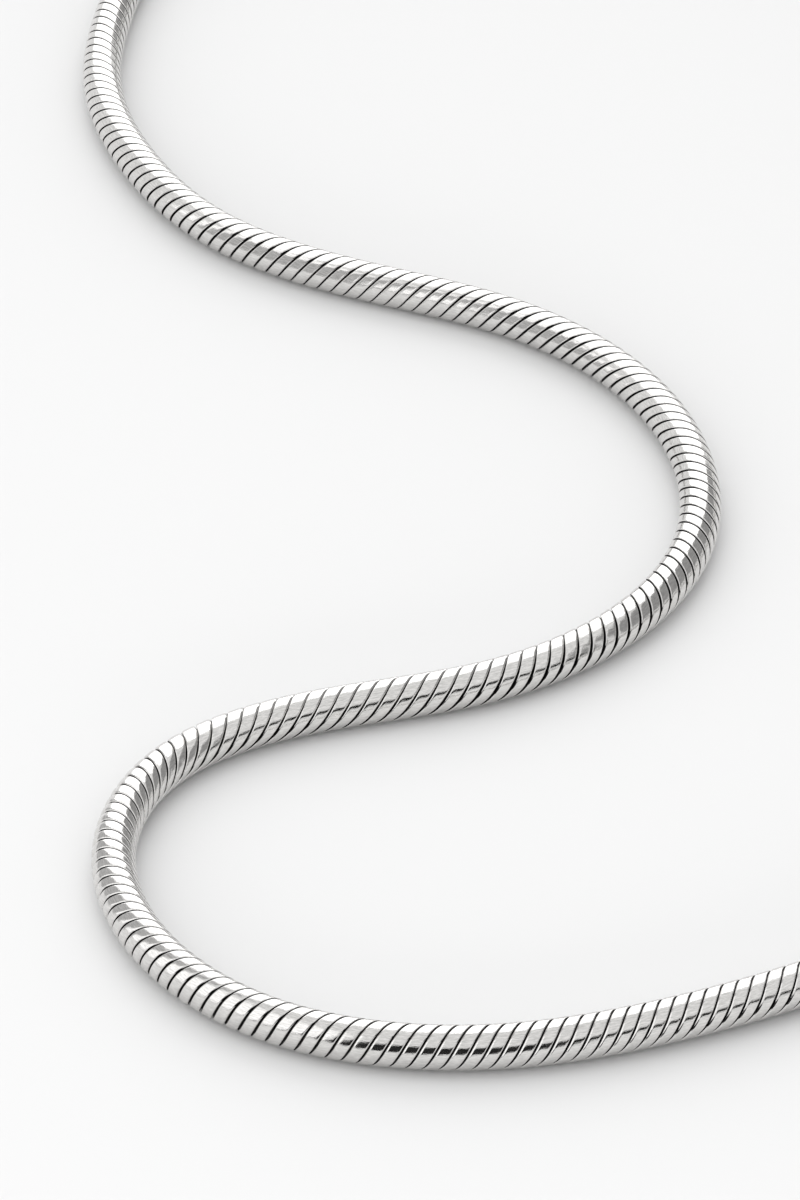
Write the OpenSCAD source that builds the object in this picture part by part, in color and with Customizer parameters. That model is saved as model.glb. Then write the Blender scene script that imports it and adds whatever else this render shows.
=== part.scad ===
// Round snake chain necklace, about 450 mm round the closed loop, laid flat in an S.
// +X is to the right, +Y away from the viewer and +Z up. The chain lies on z = 0,
// and the origin is the middle of the loop's outer box, on that surface.

/* [Chain] */
// Diameter of the round chain
chain_d = 3; // [2.6:0.1:3.6]

/* [End caps] */
// Wall of the cup that holds an end of the chain
cap_wall = 0.45; // [0.3:0.05:0.7]
// Depth of the cup's bore
cap_depth = 4; // [3:0.5:6]
// Thickness of the cup's closed end
cap_end = 1; // [0.7:0.1:2]
// Gap between the chain and the cup, all round
chain_fit = 0.05; // [0.02:0.01:0.12]

/* [Eyelets] */
// Wire of the eyelets on the caps and the clasp
eye_wire_d = 0.9; // [0.6:0.1:1.1]
// Hole of an eyelet
eye_hole_d = 1.6; // [1.3:0.1:2]

/* [Jump rings] */
// Wire of a jump ring
ring_wire_d = 0.8; // [0.5:0.1:1]
// Hole of a jump ring
ring_hole_d = 2.8; // [2.6:0.1:4]
// Gap left between linked pieces
link_gap = 0.1; // [0.05:0.05:0.15]

/* [Clasp] */
// Diameter of the barrel clasp
clasp_d = 4; // [3.4:0.1:5]
// Length of the barrel, without its eyelets
clasp_l = 9; // [7:0.5:14]
// Width of the grooves round the barrel
groove_w = 0.6; // [0.3:0.1:1]
// Depth of the grooves round the barrel
groove_depth = 0.3; // [0.1:0.1:0.6]
// Distance from the barrel's middle groove to each of the outer ones
groove_step = 2.4; // [1.6:0.1:3]
// Bevel on the ends of the barrel and the caps
bevel = 0.5; // [0.2:0.1:0.8]

/* [Hidden] */
// The middle of the clasp, seen from above
clasp_at = [34.5, 20];

// The route as control points of one smooth cubic curve, seen from above. It leaves
// the near cap, runs down the right side, along the front, round the left bend, back
// across, round the right bend, up to the far left and over the top to the far cap.
ROUTE = [
    [34.5, -3], [34.5, -13.5], [34.5, -24], [34.5, -35], [34.5, -46], [33, -57.5],
    [26.5, -68], [16, -74.5], [5, -79.5], [-6.5, -82.5], [-19, -80.5], [-28, -72.5],
    [-32, -60.5], [-28, -48.5], [-17, -43], [-5, -41], [5, -33.5], [10.5, -22.5],
    [10, -10], [5, 1], [-4, 9], [-15.5, 13], [-26, 19.5], [-32, 30],
    [-35.5, 41.5], [-34.5, 53.5], [-32, 65.5], [-25.5, 76], [-14.5, 81], [-3, 82.5],
    [9, 81.5], [20, 77], [29, 69], [34, 57.5], [34.5, 45.5]
];

chain_r = chain_d / 2;
bore_r = chain_r + chain_fit;
cap_r = bore_r + cap_wall;
cap_l = cap_end + cap_depth;
eye_r = (eye_hole_d + eye_wire_d) / 2;
ring_r = (ring_hole_d + ring_wire_d) / 2;

// Height of the caps' and the clasp's common axis, so that the widest lies on z = 0
axis_z = max(cap_r, clasp_d / 2);

// How far a jump ring hangs off the middle of an eyelet, along and below the axis
link_play = (eye_hole_d - ring_wire_d) / 2 - link_gap;
ring_pull = 0.7 * link_play;
ring_drop = 0.7 * link_play;

// Distances from the middle of the clasp, outwards along the axis
clasp_eye_at = clasp_l / 2 + eye_r;
ring_at = clasp_eye_at + ring_pull + ring_r;
cap_eye_at = ring_at + ring_r + ring_pull;
cap_at = cap_eye_at + eye_r;
chain_end_at = cap_at + cap_end + chain_fit;

// The control points with their heights: the chain lifts off the surface to enter the caps
first = [clasp_at[0], clasp_at[1] - chain_end_at];
last = [clasp_at[0], clasp_at[1] + chain_end_at];
flat_route = concat([first], ROUTE, [last]);
spans = len(flat_route) - 1;
route = [
    for (i = [0:spans])
        let (at_end = min(i, spans - i) < 2)
            [flat_route[i][0], flat_route[i][1], at_end ? axis_z : chain_r]
];

// Each half of the chain is swept through this many rings of points
sides = 12;
rings_per_span = 2;
half = spans / 2;

$fn = 64;

function unit(v) = v / norm(v);

// A control point by number, with one more beyond each end so that the curve starts
// and stops exactly on the list's own ends
function control(i) =
    i < 0 ? 2 * route[0] - route[1] :
    i > spans ? 2 * route[spans] - route[spans - 1] :
    route[i];

function weights(t) = [
    pow(1 - t, 3) / 6,
    (3 * pow(t, 3) - 6 * pow(t, 2) + 4) / 6,
    (-3 * pow(t, 3) + 3 * pow(t, 2) + 3 * t + 1) / 6,
    pow(t, 3) / 6
];

function slopes(t) = [
    -pow(1 - t, 2) / 2,
    (3 * pow(t, 2) - 4 * t) / 2,
    (-3 * pow(t, 2) + 2 * t + 1) / 2,
    pow(t, 2) / 2
];

function blend(w, i) =
    w[0] * control(i - 1) + w[1] * control(i) + w[2] * control(i + 1) + w[3] * control(i + 2);

// Place and direction of the chain's middle line, u control points along the route
function span_of(u) = min(floor(u), spans - 1);
function place(u) = blend(weights(u - span_of(u)), span_of(u));
function heading(u) = unit(blend(slopes(u - span_of(u)), span_of(u)));

// One ring of points round the middle line, with a corner at the very bottom
function ring_points(u) =
    let (
        ahead = heading(u),
        across = unit(cross(ahead, [0, 0, 1])),
        up = cross(across, ahead)
    )
    [
        for (k = [0:sides - 1])
            let (a = 360 * k / sides)
                place(u) + chain_r * (cos(a) * across + sin(a) * up)
    ];

// The chain from one place along the route to another, as one closed tube
module chain_tube(from, to) {
    rings = (to - from) * rings_per_span;
    points = [for (r = [0:rings]) each ring_points(from + r / rings_per_span)];
    side_faces = [
        for (r = [0:rings - 1])
            for (k = [0:sides - 1])
                let (
                    a = r * sides + k,
                    b = r * sides + (k + 1) % sides
                )
                each [[a, a + sides, b + sides], [a, b + sides, b]]
    ];
    start_face = [for (k = [0:sides - 1]) k];
    end_face = [for (k = [sides - 1:-1:0]) rings * sides + k];
    polyhedron(points = points, faces = concat([start_face], side_faces, [end_face]));
}

module chain_near() {
    color("silver") chain_tube(0, half);
}

module chain_far() {
    color("silver") chain_tube(half, spans);
}

// What lies along the clasp's axis: its own +Z runs along +Y, or -Y on the near side
module on_axis(side, distance, drop = 0) {
    translate([clasp_at[0], clasp_at[1] + side * distance, axis_z - drop])
        rotate([-90 * side, 0, 0])
            children();
}

module wire_ring(middle_r, wire_d) {
    rotate_extrude() translate([middle_r, 0]) circle(d = wire_d, $fn = 32);
}

// An eyelet standing on edge, in line with the axis
module eyelet() {
    rotate([0, 90, 0]) wire_ring(eye_r, eye_wire_d);
}

// A cup with its closed end at z = 0 and its mouth up, and an eyelet below
module end_cap() {
    rotate_extrude()
        polygon([
            [0, 0],
            [cap_r - bevel, 0],
            [cap_r, bevel],
            [cap_r, cap_l],
            [bore_r, cap_l],
            [bore_r, cap_end],
            [0, cap_end]
        ]);
    translate([0, 0, -eye_r]) eyelet();
}

module end_cap_near() {
    color("silver") on_axis(-1, cap_at) end_cap();
}

module end_cap_far() {
    color("silver") on_axis(1, cap_at) end_cap();
}

// A jump ring lying level, a little low in the eyelets that it links
module jump_ring(side) {
    on_axis(side, ring_at, ring_drop) rotate([90, 0, 0]) wire_ring(ring_r, ring_wire_d);
}

module jump_ring_near() {
    color("silver") jump_ring(-1);
}

module jump_ring_far() {
    color("silver") jump_ring(1);
}

// A plain barrel with bevelled ends, three grooves and an eyelet at each end
module clasp() {
    groove_r = clasp_d / 2 - groove_depth;
    color("silver") on_axis(1, 0) {
        difference() {
            rotate_extrude()
                polygon([
                    [0, -clasp_l / 2],
                    [clasp_d / 2 - bevel, -clasp_l / 2],
                    [clasp_d / 2, bevel - clasp_l / 2],
                    [clasp_d / 2, clasp_l / 2 - bevel],
                    [clasp_d / 2 - bevel, clasp_l / 2],
                    [0, clasp_l / 2]
                ]);
            for (i = [-1:1])
                translate([0, 0, i * groove_step - groove_w / 2])
                    difference() {
                        cylinder(r = clasp_d, h = groove_w);
                        translate([0, 0, -1]) cylinder(r = groove_r, h = groove_w + 2);
                    }
        }
        for (side = [-1, 1])
            translate([0, 0, side * clasp_eye_at]) eyelet();
    }
}

chain_near();
chain_far();
end_cap_near();
end_cap_far();
jump_ring_near();
jump_ring_far();
clasp();
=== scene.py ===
import math

import bpy
import numpy as np
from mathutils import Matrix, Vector


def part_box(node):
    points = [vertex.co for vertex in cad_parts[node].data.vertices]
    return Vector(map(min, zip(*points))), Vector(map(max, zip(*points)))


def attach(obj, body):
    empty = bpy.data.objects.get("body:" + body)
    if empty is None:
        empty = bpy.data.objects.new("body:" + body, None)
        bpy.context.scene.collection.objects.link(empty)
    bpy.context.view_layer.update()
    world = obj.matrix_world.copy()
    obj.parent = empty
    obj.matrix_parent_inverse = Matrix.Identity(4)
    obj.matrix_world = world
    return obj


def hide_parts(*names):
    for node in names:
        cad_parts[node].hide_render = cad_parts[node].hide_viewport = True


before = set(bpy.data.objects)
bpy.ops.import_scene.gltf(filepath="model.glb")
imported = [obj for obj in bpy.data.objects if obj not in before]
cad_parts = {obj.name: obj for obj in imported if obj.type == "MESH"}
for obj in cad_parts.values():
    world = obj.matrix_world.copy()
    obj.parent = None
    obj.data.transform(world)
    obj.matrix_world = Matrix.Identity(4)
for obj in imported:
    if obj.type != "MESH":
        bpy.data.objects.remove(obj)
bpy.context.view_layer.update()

MM = 0.001

# The chain's route is the source's: control points of one cubic curve in millimetres,
# seen from above, from the near cap round the loop to the far cap. It starts and ends
# in line with the clasp.
CLASP_X = 34.5
ROUTE = [
    (34.5, -3), (34.5, -13.5), (34.5, -24), (34.5, -35), (34.5, -46), (33, -57.5),
    (26.5, -68), (16, -74.5), (5, -79.5), (-6.5, -82.5), (-19, -80.5), (-28, -72.5),
    (-32, -60.5), (-28, -48.5), (-17, -43), (-5, -41), (5, -33.5), (10.5, -22.5),
    (10, -10), (5, 1), (-4, 9), (-15.5, 13), (-26, 19.5), (-32, 30),
    (-35.5, 41.5), (-34.5, 53.5), (-32, 65.5), (-25.5, 76), (-14.5, 81), (-3, 82.5),
    (9, 81.5), (20, 77), (29, 69), (34, 57.5), (34.5, 45.5),
]
STEPS_PER_SPAN = 60
CHAIN_R = 1.5 * MM
CAP_DEPTH = 4 * MM
CHAIN_FIT = 0.05 * MM

# The bands that wind round the chain as a left-hand thread
BANDS = 6
PITCH = 1.1 * MM
LEAD = BANDS * PITCH
GAP = 0.125 * MM
BAND_DEPTH = 0.3 * MM
STEPS_PER_TURN = 40

# A band's crown from its near edge to its far edge: shares of half its width, and how
# far it drops there, in millimetres. The far edge has a wide lip, the near edge a fine one.
CROWN = [
    (-1.0, 0.040), (-0.96, 0.026), (-0.91, 0.010), (-0.87, 0.002), (-0.84, 0.0), (-0.5, 0.0),
    (0.0, 0.0), (0.4, 0.0), (0.70, 0.0), (0.74, 0.002), (0.79, 0.010), (0.86, 0.028),
    (0.93, 0.049), (1.0, 0.074),
]
# How far down a band's walls stay silver below its lips; lower down they take the painted shade
BRIGHT_WALL = 0.03 * MM

# A tight bend crowns the bands. It starts to at the first of these ratios of the chain's
# radius to the bend's, and does so fully at the second.
CROWNED_FROM = 0.068
FULLY_CROWNED = 0.080
MOST_CROWNED = 0.03 * MM
# On a bend's outside the bands fan out and their edges drop: from this share of stretch
# on, and by this much for each further share
FANNED_FROM = 0.055
FANNED_BY = 5.0 * MM
MOST_FANNED = 0.15 * MM

# The bands bunch up a little round the left bend and lie wider apart after it:
# millimetres along the chain, and how much wider than PITCH they lie there
LAY = [
    (0, 1.005), (80, 1.05), (95, 1.04), (103, 0.96), (112, 0.94), (120, 0.95), (127, 0.92),
    (137, 0.93), (154, 0.93), (160, 1.08), (165, 1.19), (170, 1.16), (176, 1.11),
    (195, 1.08), (240, 1.02), (430, 1.0),
]
# The gaps close up round the left bend and are wider after it: millimetres along the
# chain, and shares of GAP
GAPS = [
    (0, 1.4), (98, 1.4), (110, 1.15), (120, 0.85), (132, 0.6), (150, 0.55), (158, 0.9),
    (165, 1.3), (172, 1.3), (195, 1.2), (240, 1.1), (430, 1.0),
]
# How far the gaps open on a bend's outside, where it stretches the chain, and on its
# inside, where it squeezes it: times GAP, for each share of stretch or squeeze
OUTSIDE_OPENS = 9.0
INSIDE_OPENS = 7.0
# How much narrower the gaps are on top, as a share, and the narrowest that they get
TOP_CLOSES = 0.4
LEAST_GAP = 0.025 * MM

# A bend of this radius would square the bands up to the chain, this far up its outer
# side. The effect falls off with the square of the radius.
SQUARING_R = 14 * MM
SQUARING_AT = math.radians(32)
MOST_SQUARED = 0.6

# The core, painted near-black as shade, shows between the bands, this share of their depth down
CORE_SIDES = 24
CORE_SPACING = 1.5 * MM
CORE_DOWN = 0.92

# The metals. Smudges are listed by their length in each direction of the coordinates that
# they use: the chain's run along it and round it in millimetres.
SILVER = (0.71, 0.70, 0.685)
CHAIN_ROUGHNESS = 0.10
CHAIN_SMUDGE = (0.5, 0.1, 1.0)
CHAIN_DENTS = 0.0055 * MM
FINDINGS_ROUGHNESS = 0.13
FINDINGS_SMUDGE = (0.5 * MM, 0.5 * MM, 0.5 * MM)
FINDINGS_DENTS = 0.006 * MM
SMUDGE_DETAIL = 4.0
SMUDGE_FINENESS = 0.62
SMUDGE_RANGE = (0.3, 0.7)
# Shares of the metal's roughness and of its colour, from the darkest smudge to the lightest
ROUGHNESS_SHARES = (0.7, 1.4)
TINT_SHARES = (0.84, 1.14)
# Painted shade: the near-black greys, roughness and speck size of the metal between the bands
PAINTED_SHADE_GREYS = (0.012, 0.05)
PAINTED_SHADE_ROUGHNESS = 0.7
PAINTED_SHADE_SPECK = 0.2 * MM

# The photograph's camera: how steeply it looks down, how far off it stands and its lens
VIEW_DOWN = math.radians(34)
VIEW_DISTANCE = 0.5233
VIEW_CENTRE = Vector((-11.5 * MM, -30 * MM, CHAIN_R))
LENS = 223.2
CLIP = (0.01, 20)

# The floor, and how far it reaches from the middle in metres
FLOOR_REACH = 3.0
FLOOR_GREY = 0.735
FLOOR_ROUGHNESS = 0.9
FLOOR_GLOSS = 0.1

# Lamps: middle, the direction that they face, width and height in millimetres, and
# radiance. The silver mirrors the left box. The other two light only the floor.
LEFT_BOX = ((-272, -137, 308), (0.961, 0.276, 0), 480, 505, 0.45)
TOP_LIGHT = ((-100, 0, 1000), (0.1, 0, -1), 600, 600, 1.0)
FRONT_LIGHT = ((0, -900, 150), (0, 90, -15), 900, 160, 6.0)

# Cards far off, which the silver mirrors. Their outlines are listed by compass direction:
# degrees from straight towards the camera, with 90 to the right, then the lower and the
# upper edge in degrees above the floor. They stand this far off, in metres.
CARD_DISTANCE = 1.5
FRONT_LEFT_SCREEN = [
    (-58, 6.5, 7.5), (-46, 8, 10.5), (-36, 9, 13.5), (-30, 8, 17), (-26, 1, 33.5),
    (-15, 0, 34.5), (-5, 0, 33), (5, 0, 31.5),
]
FRONT_RIGHT_SCREEN = [
    (5, 0, 31.5), (15, 4, 31), (21, 7, 30.5), (24, 11, 30.5), (26.5, 17, 30.5),
    (35, 17.5, 30.5), (46, 18.5, 30), (52, 14, 25), (58, 8, 20), (72, 4, 12),
]
RIGHT_SCREEN = [(66, 8, 26), (78, 5, 40), (120, 5, 48), (150, 5, 43), (156, 20, 22)]

# Cards close by, in millimetres: the feet and the height of two that stand on the floor,
# and the corners of one that hangs level
LEFT_SCREEN = [(-50, -24), (-132, -21), (-140, 18)]
LEFT_SCREEN_HEIGHT = 130
RIGHT_CARD = [(38, -45), (95, -45)]
RIGHT_CARD_HEIGHT = 38
WHITE_CARD = [(-110, 28, 130), (-8, 28, 130), (-8, 125, 130), (-110, 125, 130)]

# How brightly the cards show in the silver
FRONT_GLOW = 0.02
RIGHT_GLOW = 0.35
LEFT_GLOW = 0.55
RIGHT_CARD_GLOW = 0.85
WHITE_GLOW = 1.6

# The studio is an even grey, with a white soft box low down at the back, whose outline is
# listed as those of the cards far off
STUDIO_LIGHT = 0.92
BACK_BOX_LIGHT = 2.3
BACK_BOX = [
    (-180, 5, 67), (-172, 5, 60), (-165, 5, 52), (-159, 8, 49), (-152, 18, 46),
    (-147, 30, 44), (-143, 38, 41), (-141, 40, 38),
    (138, 47, 47), (144, 42, 57), (155, 38, 59), (157, 5, 60), (180, 5, 67),
]
# The box's edges are soft over this many degrees to either side
EDGE_SOFTNESS = 2.0


def unit_rows(v):
    return v / np.linalg.norm(v, axis=1, keepdims=True)


def smooth_curve(control):
    """Points of a cubic B-spline that starts and stops on the ends of its own list."""
    first = 2 * control[0] - control[1]
    last = 2 * control[-1] - control[-2]
    q = np.vstack([first, control, last])
    t = np.linspace(0, 1, STEPS_PER_SPAN, endpoint=False)[:, None]
    weights = (
        (1 - t) ** 3,
        3 * t ** 3 - 6 * t ** 2 + 4,
        -3 * t ** 3 + 3 * t ** 2 + 3 * t + 1,
        t ** 3,
    )
    spans = [
        sum(w * q[i + k] for k, w in enumerate(weights)) / 6
        for i in range(len(control) - 1)
    ]
    return np.vstack(spans + [control[-1:]])


def chain_controls():
    """The route's control points in metres, with the chain's two ends in the caps."""
    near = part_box("end_cap_near")
    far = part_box("end_cap_far")
    axis_z = (near[0][2] + near[1][2]) / 2
    start_y = near[0][1] + CAP_DEPTH - CHAIN_FIT
    stop_y = far[1][1] - CAP_DEPTH + CHAIN_FIT
    flat = [(CLASP_X, start_y / MM)] + ROUTE + [(CLASP_X, stop_y / MM)]
    count = len(flat)
    return np.array([
        (x * MM, y * MM, axis_z if min(i, count - 1 - i) < 2 else CHAIN_R)
        for i, (x, y) in enumerate(flat)
    ])


class Line:
    """The chain's middle line: places, directions and bends by the length along it."""

    def __init__(self):
        self.points = smooth_curve(chain_controls())
        step = np.linalg.norm(np.diff(self.points, axis=0), axis=1)
        self.at = np.concatenate([[0], np.cumsum(step)])
        self.length = self.at[-1]
        self.ahead = unit_rows(np.gradient(self.points, self.at, axis=0))
        self.across = unit_rows(np.cross(self.ahead, (0, 0, 1)))
        self.up = np.cross(self.across, self.ahead)
        self.bend = self.even_bend()
        where, wider = np.array(LAY).T
        self.lay = np.interp(self.at, where * MM, wider)
        laid = np.diff(self.at) / self.lay[:-1]
        self.laid = np.concatenate([[0], np.cumsum(laid)])
        where, share = np.array(GAPS).T
        self.gap = np.interp(self.at, where * MM, GAP * share)

    def even_bend(self):
        """The bend to the left at each point, evened out over a span to either side."""
        turn = np.unwrap(np.arctan2(self.ahead[:, 1], self.ahead[:, 0]))
        bend = np.gradient(turn, self.at)
        window = 2 * STEPS_PER_SPAN + 1
        padded = np.pad(bend, STEPS_PER_SPAN, mode="edge")
        return np.convolve(padded, np.ones(window) / window, "valid")

    def along(self, values, x):
        """The values at lengths along the chain."""
        x = np.clip(x, 0, self.length)
        if values.ndim == 1:
            return np.interp(x, self.at, values)
        return np.stack([np.interp(x, self.at, values[:, k]) for k in range(3)], -1)

    def surface(self, x, angle, radius):
        """Points by length, by angle round from the right-hand side, and by radius."""
        side = np.cos(angle)[..., None] * self.along(self.across, x)
        rise = np.sin(angle)[..., None] * self.along(self.up, x)
        return self.along(self.points, x) + radius[..., None] * (side + rise)

    def squared(self, x, angle):
        """How far a bend shifts a band along the chain, at an angle round it."""
        bend = self.along(self.bend, x)
        much = np.minimum((SQUARING_R * bend) ** 2, MOST_SQUARED)
        outer = np.where(bend > 0, SQUARING_AT, math.pi - SQUARING_AT)
        turned = -much * np.sin(angle - outer)
        return LEAD / (2 * math.pi) * turned


line = Line()


def mesh_piece(name, points, faces, materials, uv=None, sharp=None, finish=None):
    """A smooth mesh. uv and sharp go by point, finish is each face's material."""
    mesh = bpy.data.meshes.new(name)
    mesh.from_pydata(points.tolist(), [], faces)
    mesh.validate()
    mesh.shade_smooth()
    if uv is not None:
        corner = np.empty(len(mesh.loops), dtype=np.int32)
        mesh.loops.foreach_get("vertex_index", corner)
        layer = mesh.uv_layers.new(name="UVMap")
        layer.data.foreach_set("uv", uv[corner].ravel())
    if sharp is not None:
        ends = np.empty(len(mesh.edges) * 2, dtype=np.int32)
        mesh.edges.foreach_get("vertices", ends)
        hard = sharp[ends.reshape(-1, 2)].all(axis=1)
        mesh.attributes.new("sharp_edge", "BOOLEAN", "EDGE").data.foreach_set("value", hard)
    for material in materials:
        mesh.materials.append(material)
    if finish is not None:
        mesh.polygons.foreach_set("material_index", finish)
    piece = bpy.data.objects.new(name, mesh)
    bpy.context.scene.collection.objects.link(piece)
    return piece


def swept_faces(rings, sides):
    """Quads round a row of closed rings, with a face over each end."""
    faces = []
    for r in range(rings - 1):
        for k in range(sides):
            a = r * sides + k
            b = r * sides + (k + 1) % sides
            faces.append((a, b, b + sides, a + sides))
    faces.append(tuple(range(sides - 1, -1, -1)))
    faces.append(tuple(range((rings - 1) * sides, rings * sides)))
    return faces


def node_material(name):
    material = bpy.data.materials.new(name)
    material.use_nodes = True
    tree = material.node_tree
    return material, tree, tree.nodes["Principled BSDF"]


def grey(level):
    return (level, level, level, 1)


def range_node(tree, value, low, high):
    """A Map Range node, with the names of its two ends and their values."""
    node = tree.nodes.new("ShaderNodeMapRange")
    tree.links.new(value, node.inputs["Value"])
    for name, number in (low, high):
        node.inputs[name].default_value = number
    return node


def silver(name, roughness, coordinates, smudge_size, dents):
    """Polished silver with faint smudges in its gloss, its colour and its surface."""
    material, tree, shader = node_material(name)
    link = tree.links.new
    shader.inputs["Metallic"].default_value = 1.0
    coords = tree.nodes.new("ShaderNodeTexCoord")
    stretch = tree.nodes.new("ShaderNodeMapping")
    stretch.inputs["Scale"].default_value = [1 / length for length in smudge_size]
    link(coords.outputs[coordinates], stretch.inputs["Vector"])
    smudge = tree.nodes.new("ShaderNodeTexNoise")
    smudge.inputs["Scale"].default_value = 1.0
    smudge.inputs["Detail"].default_value = SMUDGE_DETAIL
    smudge.inputs["Roughness"].default_value = SMUDGE_FINENESS
    link(stretch.outputs["Vector"], smudge.inputs["Vector"])
    from_ends = zip(("From Min", "From Max"), SMUDGE_RANGE)
    even = range_node(tree, smudge.outputs["Fac"], *from_ends).outputs["Result"]
    to_ends = zip(("To Min", "To Max"), (roughness * share for share in ROUGHNESS_SHARES))
    gloss = range_node(tree, even, *to_ends)
    link(gloss.outputs["Result"], shader.inputs["Roughness"])
    tint = tree.nodes.new("ShaderNodeMix")
    tint.data_type = "RGBA"
    for socket, share in zip("AB", TINT_SHARES):
        tint.inputs[socket].default_value = (*[share * c for c in SILVER], 1)
    link(even, tint.inputs["Factor"])
    link(tint.outputs["Result"], shader.inputs["Base Color"])
    bump = tree.nodes.new("ShaderNodeBump")
    bump.inputs["Strength"].default_value = 1.0
    bump.inputs["Distance"].default_value = dents
    link(smudge.outputs["Fac"], bump.inputs["Height"])
    link(bump.outputs["Normal"], shader.inputs["Normal"])
    return material


def painted_shade_metal():
    """Painted shade: near-black metal down between the bands."""
    material, tree, shader = node_material("painted_shade_metal")
    shader.inputs["Metallic"].default_value = 1.0
    shader.inputs["Roughness"].default_value = PAINTED_SHADE_ROUGHNESS
    coords = tree.nodes.new("ShaderNodeTexCoord")
    specks = tree.nodes.new("ShaderNodeTexNoise")
    specks.inputs["Scale"].default_value = 1 / PAINTED_SHADE_SPECK
    shade = tree.nodes.new("ShaderNodeMix")
    shade.data_type = "RGBA"
    for socket, level in zip("AB", PAINTED_SHADE_GREYS):
        shade.inputs[socket].default_value = grey(level)
    tree.links.new(coords.outputs["Object"], specks.inputs["Vector"])
    tree.links.new(specks.outputs["Fac"], shade.inputs["Factor"])
    tree.links.new(shade.outputs["Result"], shader.inputs["Base Color"])
    return material


CHAIN_SILVER = silver("chain_silver", CHAIN_ROUGHNESS, "UV", CHAIN_SMUDGE, CHAIN_DENTS)
FINDINGS_SILVER = silver(
    "findings_silver", FINDINGS_ROUGHNESS, "Object", FINDINGS_SMUDGE, FINDINGS_DENTS,
)
PAINTED_SHADE = painted_shade_metal()


def band_profile():
    """A band's section, round from wall to wall: shares of half its width, and radii."""
    crown = [(share, CHAIN_R - drop * MM) for share, drop in CROWN]
    foot = CHAIN_R - BAND_DEPTH
    near_wall = [(-1.0, foot), (-1.0, crown[0][1] - BRIGHT_WALL)]
    far_wall = [(1.0, crown[-1][1] - BRIGHT_WALL), (1.0, foot)]
    return np.array(near_wall + crown + far_wall)


def half_width(x, angle, stretch):
    """Half a band's width along the chain: the gap takes up most of what a bend adds."""
    gap = line.along(line.gap, x) * (1 - TOP_CLOSES * np.maximum(np.sin(angle), 0) ** 4)
    outside = OUTSIDE_OPENS * np.maximum(stretch - 1, 0)
    inside = INSIDE_OPENS * np.maximum(1 - stretch, 0)
    gap = np.maximum(gap + GAP * (outside + inside), LEAST_GAP)
    return (PITCH * line.along(line.lay, x) - gap / stretch) / 2


def sag(x, stretch, share):
    """How far a bend lets a band's surface drop, at shares of half its width."""
    tight = np.abs(line.along(line.bend, x)) * CHAIN_R
    crowned = MOST_CROWNED * np.interp(tight, (CROWNED_FROM, FULLY_CROWNED), (0, 1))
    fanned = np.clip(FANNED_BY * (stretch - 1 - FANNED_FROM), 0, MOST_FANNED)
    return crowned[:, None] * share ** 2 + fanned[:, None] * share ** 4


def band_steps(number):
    """A band's angles from cap to cap, and its lengths as if it were laid evenly."""
    start = (number + 0.5) * PITCH
    first = -int(number * PITCH / LEAD * STEPS_PER_TURN)
    last = int((line.laid[-1] - PITCH - start) / LEAD * STEPS_PER_TURN)
    angle = np.arange(first, last + 1) * 2 * math.pi / STEPS_PER_TURN
    return angle, start + LEAD * angle / (2 * math.pi)


def in_chain_place(piece):
    """The piece stands for the chain: it is attached to the root, and the chain's own parts are
    hidden.
    """
    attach(piece, "root")
    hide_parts("chain_near", "chain_far")


def band(number):
    profile = band_profile()
    sides = len(profile)
    angle, laid = band_steps(number)
    middle = np.interp(laid, line.laid, line.at)
    middle = middle + line.squared(middle, angle)
    stretch = 1 + line.along(line.bend, middle) * CHAIN_R * np.cos(angle)
    half = half_width(middle, angle, stretch)
    share = profile[None, :, 0]
    x = np.clip(middle[:, None] + half[:, None] * share, 0, line.length)
    angles = np.broadcast_to(angle[:, None], x.shape)
    radius = profile[None, :, 1] - sag(middle, stretch, share)
    points = line.surface(x, angles, radius).reshape(-1, 3)
    uv = np.stack([x / MM, angles * CHAIN_R / MM], -1).reshape(-1, 2)

    # Hard edges run along the tops of the walls. The walls, the underside and both end faces take
    # the painted shade.
    wall_tops = [1, 2, -3, -2]
    painted_shade_sides = [0, -2, -1]
    sharp = np.zeros(x.shape, dtype=bool)
    sharp[:, wall_tops] = True
    around = np.zeros((len(angle) - 1, sides), dtype=np.int32)
    around[:, painted_shade_sides] = 1
    ends = [1, 1]
    piece = mesh_piece(
        f"chain_band_{number + 1}", points, swept_faces(len(angle), sides),
        [CHAIN_SILVER, PAINTED_SHADE], uv, sharp.ravel(), np.concatenate([around.ravel(), ends]),
    )
    in_chain_place(piece)


def core():
    """The chain's inside, painted near-black as shade, which shows between its bands."""
    rings = int(line.length / CORE_SPACING)
    x = np.linspace(0, line.length, rings)
    angle = np.arange(CORE_SIDES) * 2 * math.pi / CORE_SIDES
    lengths, angles = np.meshgrid(x, angle, indexing="ij")
    radius = np.full(lengths.shape, CHAIN_R - CORE_DOWN * BAND_DEPTH)
    points = line.surface(lengths, angles, radius).reshape(-1, 3)
    piece = mesh_piece("chain_core", points, swept_faces(rings, CORE_SIDES), [PAINTED_SHADE])
    in_chain_place(piece)


def findings():
    """The caps, rings and clasp keep their own shapes and get the same metal."""
    for name in ("end_cap_near", "end_cap_far", "jump_ring_near", "jump_ring_far", "clasp"):
        node = bpy.data.objects[name]
        if not node.material_slots:
            node.data.materials.append(FINDINGS_SILVER)
        for slot in node.material_slots:
            slot.material = FINDINGS_SILVER


def camera():
    data = bpy.data.cameras.new("camera")
    data.lens = LENS
    data.clip_start, data.clip_end = CLIP
    eye = bpy.data.objects.new("camera", data)
    back = Vector((0, -math.cos(VIEW_DOWN), math.sin(VIEW_DOWN)))
    eye.location = VIEW_CENTRE + VIEW_DISTANCE * back
    eye.rotation_euler = (math.pi / 2 - VIEW_DOWN, 0, 0)
    bpy.context.scene.collection.objects.link(eye)
    bpy.context.scene.camera = eye


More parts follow.
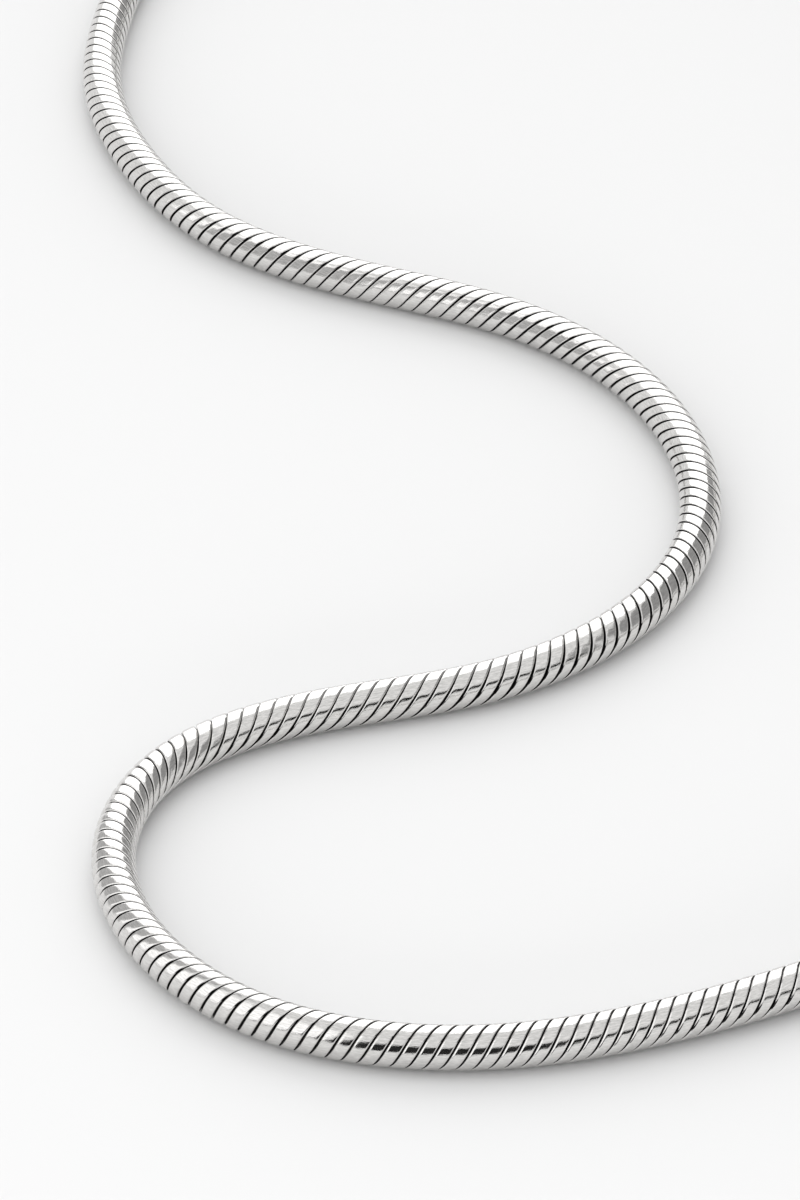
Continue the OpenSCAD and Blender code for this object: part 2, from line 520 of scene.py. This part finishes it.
def floor():
    material, tree, shader = node_material("pale_floor")
    shader.inputs["Base Color"].default_value = grey(FLOOR_GREY)
    shader.inputs["Roughness"].default_value = FLOOR_ROUGHNESS
    shader.inputs["Specular IOR Level"].default_value = FLOOR_GLOSS
    signs = ((-1, -1), (1, -1), (1, 1), (-1, 1))
    corners = np.array([(FLOOR_REACH * x, FLOOR_REACH * y, 0) for x, y in signs])
    piece = mesh_piece("floor", corners, [(0, 1, 2, 3)], [material])


def soft_box(name, place, facing, width, height, radiance):
    """A rectangular lamp, unseen by the camera."""
    data = bpy.data.lights.new(name, "AREA")
    data.shape = "RECTANGLE"
    data.size = width * MM
    data.size_y = height * MM
    data.energy = radiance * data.size * data.size_y * math.pi
    lamp = bpy.data.objects.new(name, data)
    lamp.location = Vector(place) * MM
    lamp.rotation_euler = Vector(facing).to_track_quat("-Z", "Y").to_euler()
    lamp.visible_camera = False
    bpy.context.scene.collection.objects.link(lamp)
    return lamp


def lamps():
    soft_box("left_box", *LEFT_BOX)
    for floor_only in (soft_box("top_light", *TOP_LIGHT), soft_box("front_light", *FRONT_LIGHT)):
        floor_only.visible_glossy = False


def card(name, corners, faces, glow, floor_sees=False):
    """A card that the silver mirrors. One that the floor sees changes its light too."""
    material, tree, shader = node_material(name)
    shader.inputs["Base Color"].default_value = grey(0)
    shader.inputs["Specular IOR Level"].default_value = 0.0
    shader.inputs["Emission Color"].default_value = grey(1)
    shader.inputs["Emission Strength"].default_value = glow
    piece = mesh_piece(name, np.array(corners), faces, [material])
    piece.visible_camera = False
    piece.visible_diffuse = floor_sees
    piece.visible_shadow = False


def folded_card(name, low, high, glow, floor_sees=False):
    """A card between a row of low corners and as many high ones."""
    count = len(low)
    faces = [(k, k + 1, count + k + 1, count + k) for k in range(count - 1)]
    card(name, low + high, faces, glow, floor_sees)


def standing_card(name, feet, height, glow):
    low = [Vector((x, y, 0)) * MM for x, y in feet]
    high = [foot + Vector((0, 0, height)) * MM for foot in low]
    folded_card(name, low, high, glow)


def far_point(compass, elevation):
    azimuth = math.radians(compass)
    rise = math.tan(math.radians(elevation))
    return CARD_DISTANCE * Vector((math.sin(azimuth), -math.cos(azimuth), rise))


def far_card(name, outline, glow, floor_sees=False):
    low = [far_point(compass, lower) for compass, lower, upper in outline]
    high = [far_point(compass, upper) for compass, lower, upper in outline]
    folded_card(name, low, high, glow, floor_sees)


def cards():
    far_card("front_left_screen", FRONT_LEFT_SCREEN, FRONT_GLOW)
    far_card("front_right_screen", FRONT_RIGHT_SCREEN, FRONT_GLOW, floor_sees=True)
    far_card("right_screen", RIGHT_SCREEN, RIGHT_GLOW)
    standing_card("left_screen", LEFT_SCREEN, LEFT_SCREEN_HEIGHT, LEFT_GLOW)
    standing_card("right_card", RIGHT_CARD, RIGHT_CARD_HEIGHT, RIGHT_CARD_GLOW)
    card("white_card", [Vector(corner) * MM for corner in WHITE_CARD], [(0, 1, 2, 3)], WHITE_GLOW)


def feed(tree, socket, value):
    """Sets a socket to a number, or links another node's socket to it."""
    if isinstance(value, (int, float)):
        socket.default_value = value
    else:
        tree.links.new(value, socket)


def math_node(tree, operation, *inputs):
    node = tree.nodes.new("ShaderNodeMath")
    node.operation = operation
    for socket, value in zip(node.inputs, inputs):
        feed(tree, socket, value)
    return node.outputs["Value"]


def ramp_node(tree, value, stops):
    """A ramp of greys; each stop is a place from 0 to 1 and a grey."""
    node = tree.nodes.new("ShaderNodeValToRGB")
    tree.links.new(value, node.inputs["Fac"])
    elements = node.color_ramp.elements
    elements.remove(elements[1])
    for number, (place, level) in enumerate(stops):
        element = elements[0] if number == 0 else elements.new(place)
        element.position = place
        element.color = grey(level)
    return node.outputs["Color"]


def edge_height(tree, turn, outline, column):
    """An outline's lower or upper edge in degrees, as it changes with the direction."""
    most = 90
    stops = [(row[0] / 360 + 0.5, row[column] / most) for row in outline]
    return math_node(tree, "MULTIPLY", ramp_node(tree, turn, stops), float(most))


def soft_step(tree, value):
    """0 below zero and 1 above it, with a soft change between."""
    ends = (("From Min", -EDGE_SOFTNESS), ("From Max", EDGE_SOFTNESS))
    node = range_node(tree, value, *ends)
    node.interpolation_type = "SMOOTHSTEP"
    return node.outputs["Result"]


def inside_outline(tree, turn, elevation, outline):
    """1 between an outline's lower and upper edge, and 0 outside it."""
    low = edge_height(tree, turn, outline, 1)
    high = edge_height(tree, turn, outline, 2)
    above_low = soft_step(tree, math_node(tree, "SUBTRACT", elevation, low))
    below_high = soft_step(tree, math_node(tree, "SUBTRACT", high, elevation))
    return math_node(tree, "MULTIPLY", above_low, below_high)


def blend(tree, share, without, within):
    """A number that gives way to another by a share."""
    node = tree.nodes.new("ShaderNodeMix")
    feed(tree, node.inputs["Factor"], share)
    feed(tree, node.inputs["A"], without)
    feed(tree, node.inputs["B"], within)
    return node.outputs["Result"]


def surroundings():
    """The studio, as the light that comes from each direction."""
    world = bpy.data.worlds.new("studio")
    world.use_nodes = True
    tree = world.node_tree
    coords = tree.nodes.new("ShaderNodeTexCoord")
    parts = tree.nodes.new("ShaderNodeSeparateXYZ")
    tree.links.new(coords.outputs["Generated"], parts.inputs["Vector"])
    x, y, z = (parts.outputs[axis] for axis in "XYZ")
    backwards = math_node(tree, "MULTIPLY", y, -1.0)
    azimuth = math_node(tree, "ARCTAN2", x, backwards)
    elevation = math_node(tree, "DEGREES", math_node(tree, "ARCSINE", z))
    turn = math_node(tree, "MULTIPLY_ADD", azimuth, 1 / (2 * math.pi), 0.5)
    whiter = inside_outline(tree, turn, elevation, BACK_BOX)
    light = blend(tree, whiter, STUDIO_LIGHT, BACK_BOX_LIGHT)
    tree.links.new(light, tree.nodes["Background"].inputs["Color"])
    bpy.context.scene.world = world


for number in range(BANDS):
    band(number)
core()
findings()
camera()
floor()
surroundings()
lamps()
cards()
bpy.context.scene.view_settings.view_transform = "Standard"
